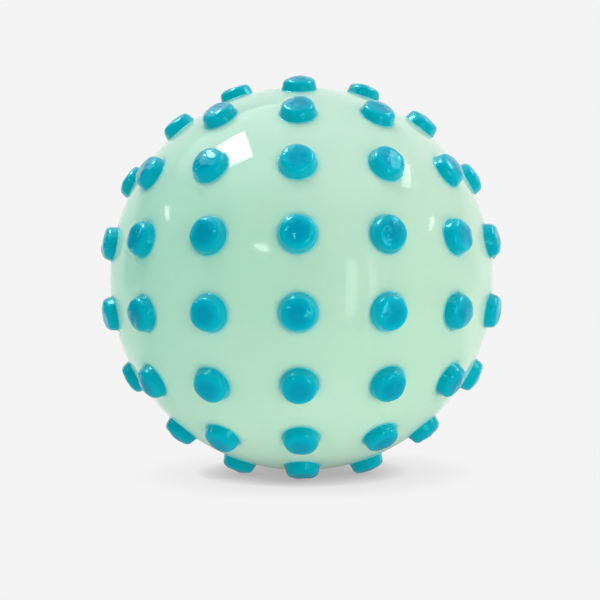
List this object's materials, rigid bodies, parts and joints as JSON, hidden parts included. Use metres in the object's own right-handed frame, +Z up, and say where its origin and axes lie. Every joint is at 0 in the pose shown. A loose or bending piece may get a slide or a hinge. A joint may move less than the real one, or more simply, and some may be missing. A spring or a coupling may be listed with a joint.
{
  "type": "sensory ball",
  "caption": "Soft hollow ball with rings of flat-topped rounded studs to grip and feel, standing on its lowest ring of studs, with a push-in air valve plug at the back.",
  "frame": {"origin": "centre of the ball's shell", "axes": "+Z up through the single top stud, -Y towards the front as pictured, +Y through the valve, +X to the right seen from the front"},
  "size_m": [0.1978, 0.197, 0.1957],
  "materials": {
    "shell_vinyl": "glossy translucent soft vinyl, milky mint green",
    "stud_vinyl": "glossy solid soft vinyl, cyan blue",
    "valve_vinyl": "satin soft vinyl, pale mint",
    "plug_plastic": "satin moulded plastic, off-white"
  },
  "bodies": {
    "ball": {"ball_shell": "shell_vinyl", "top_stud": "stud_vinyl", "crown_studs": "stud_vinyl", "upper_shoulder_studs": "stud_vinyl", "upper_waist_studs": "stud_vinyl", "upper_belt_studs": "stud_vinyl", "lower_belt_studs": "stud_vinyl", "lower_waist_studs": "stud_vinyl", "lower_shoulder_studs": "stud_vinyl", "foot_studs": "stud_vinyl", "valve_seat": "valve_vinyl"},
    "plug": {"valve_plug": "plug_plastic"}
  },
  "joints": [
    {"name": "plug_pull", "type": "slide", "parent": "ball", "child": "plug", "axis": [0, 1, 0], "range_m": [0, 0.018]}
  ]
}
